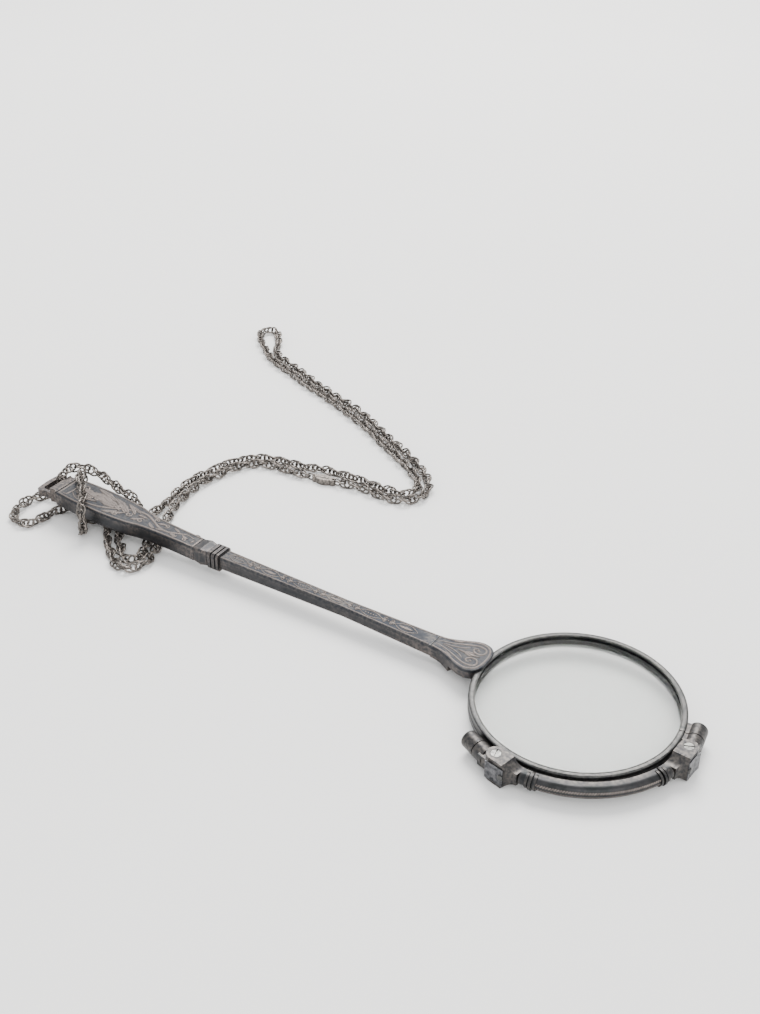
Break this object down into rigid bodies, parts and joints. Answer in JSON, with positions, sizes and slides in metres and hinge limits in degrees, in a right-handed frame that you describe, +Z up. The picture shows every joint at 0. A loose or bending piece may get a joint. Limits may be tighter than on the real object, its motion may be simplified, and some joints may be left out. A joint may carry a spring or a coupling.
{
  "type": "folding lorgnette",
  "caption": "Folding lorgnette: round lenses that swing apart on a curved bridge, a long engraved handle with a release catch, and a neck chain through its end bail.",
  "frame": {"origin": "centre of the closed lorgnette's footprint, on the surface it lies on, without its chain", "axes": "+X along the handle towards the lenses, +Z up from the surface through the lenses, +Y across"},
  "size_m": [0.1689, 0.1234, 0.0099],
  "materials": {
    "engraved_silver": "worn silver relief over dark blue-grey recesses",
    "oxidised_silver": "oxidised silver, satin",
    "rim_silver": "oxidised silver, polished edges",
    "bridge_silver": "oxidised silver with chased lines",
    "screw_steel": "polished steel",
    "spring_steel": "blued spring steel",
    "release_steel": "satin steel",
    "lens_glass": "clear glass, faint green tint",
    "chain_silver": "oxidised silver links"
  },
  "bodies": {
    "handle": {"shaft_back": "oxidised_silver", "shaft_face": "engraved_silver", "neck_bracket": "oxidised_silver", "palmette_plate": "engraved_silver", "collar_ferrule": "oxidised_silver", "collar_shoulder": "oxidised_silver", "rod_guide": "oxidised_silver", "grip_back": "oxidised_silver", "grip_face": "engraved_silver", "end_bail": "oxidised_silver", "spring_seat": "oxidised_silver", "upper_ring": "rim_silver", "upper_lens": "lens_glass", "upper_knuckle": "bridge_silver", "upper_barrel_cap": "bridge_silver", "upper_closing_screw": "screw_steel", "chain": "chain_silver", "clasp_body": "chain_silver", "clasp_lever": "chain_silver"},
    "catch_slide": {"release_rod": "release_steel", "catch_nose": "release_steel", "release_button": "release_steel", "return_spring": "spring_steel"},
    "bridge": {"bridge": "bridge_silver", "left_pivot_screw": "screw_steel", "right_pivot_screw": "screw_steel", "left_leaf_spring": "spring_steel", "right_leaf_spring": "spring_steel", "left_leaf_rivet": "screw_steel", "right_leaf_rivet": "screw_steel"},
    "lower_lens_frame": {"lower_ring": "rim_silver", "lower_lens": "lens_glass", "lower_knuckle": "bridge_silver", "lower_barrel_cap": "bridge_silver", "lower_closing_screw": "screw_steel"}
  },
  "joints": [
    {"name": "bridge_swing", "type": "hinge", "parent": "handle", "child": "bridge", "pos_m": [0.07487, 0.00049, 0.0026], "axis": [0, 0, 1], "range_deg": [0, 95], "deforming": ["left_leaf_spring", "right_leaf_spring"]},
    {"name": "lens_swing", "type": "hinge", "parent": "bridge", "child": "lower_lens_frame", "pos_m": [0.04817, -0.0189, 0.0026], "axis": [0, 0, 1], "range_deg": [0, 95]},
    {"name": "catch_release", "type": "slide", "parent": "handle", "child": "catch_slide", "axis": [-1, 0, 0], "range_m": [0, 0.0015], "stiffness_N_per_m": 120, "deforming": ["return_spring"]}
  ],
  "couplings": [
    {"joint": "lens_swing", "follows": "bridge_swing", "ratio": 1}
  ]
}
